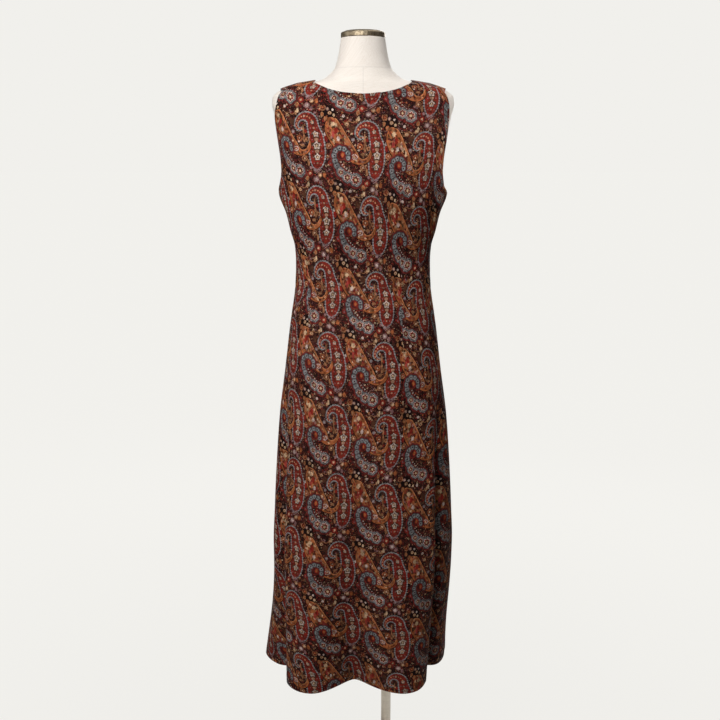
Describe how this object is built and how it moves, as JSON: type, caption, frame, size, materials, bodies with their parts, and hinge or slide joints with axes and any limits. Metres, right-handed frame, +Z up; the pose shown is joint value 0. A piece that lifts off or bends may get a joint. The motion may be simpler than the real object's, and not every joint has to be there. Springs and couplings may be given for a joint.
{
  "type": "sleeveless maxi dress on a limbless dress form",
  "caption": "Sleeveless maxi dress with a wide neckline, fitted waist and flared folded skirt in a paisley print, on a linen-covered form with neck cap, pole and round base.",
  "frame": {"origin": "centre of the base's underside, on the floor under the middle of the dress form", "axes": "+Z up, towards the neck cap; -Y out of the dress's back, the side that the picture shows; +X to the right as the dress's back is looked at"},
  "size_m": [0.4398, 0.4032, 1.7221],
  "materials": {
    "dress_cloth": "printed plain weave, matt",
    "form_cover": "natural linen, matt",
    "cap_brass": "antique, satin",
    "stand_metal": "satin grey-beige"
  },
  "bodies": {
    "root": {"dress_back": "dress_cloth", "dress_front": "dress_cloth", "form_torso": "form_cover", "form_neck_cap": "cap_brass", "stand_pole": "stand_metal", "stand_collar": "stand_metal", "stand_base": "stand_metal"}
  },
  "joints": []
}
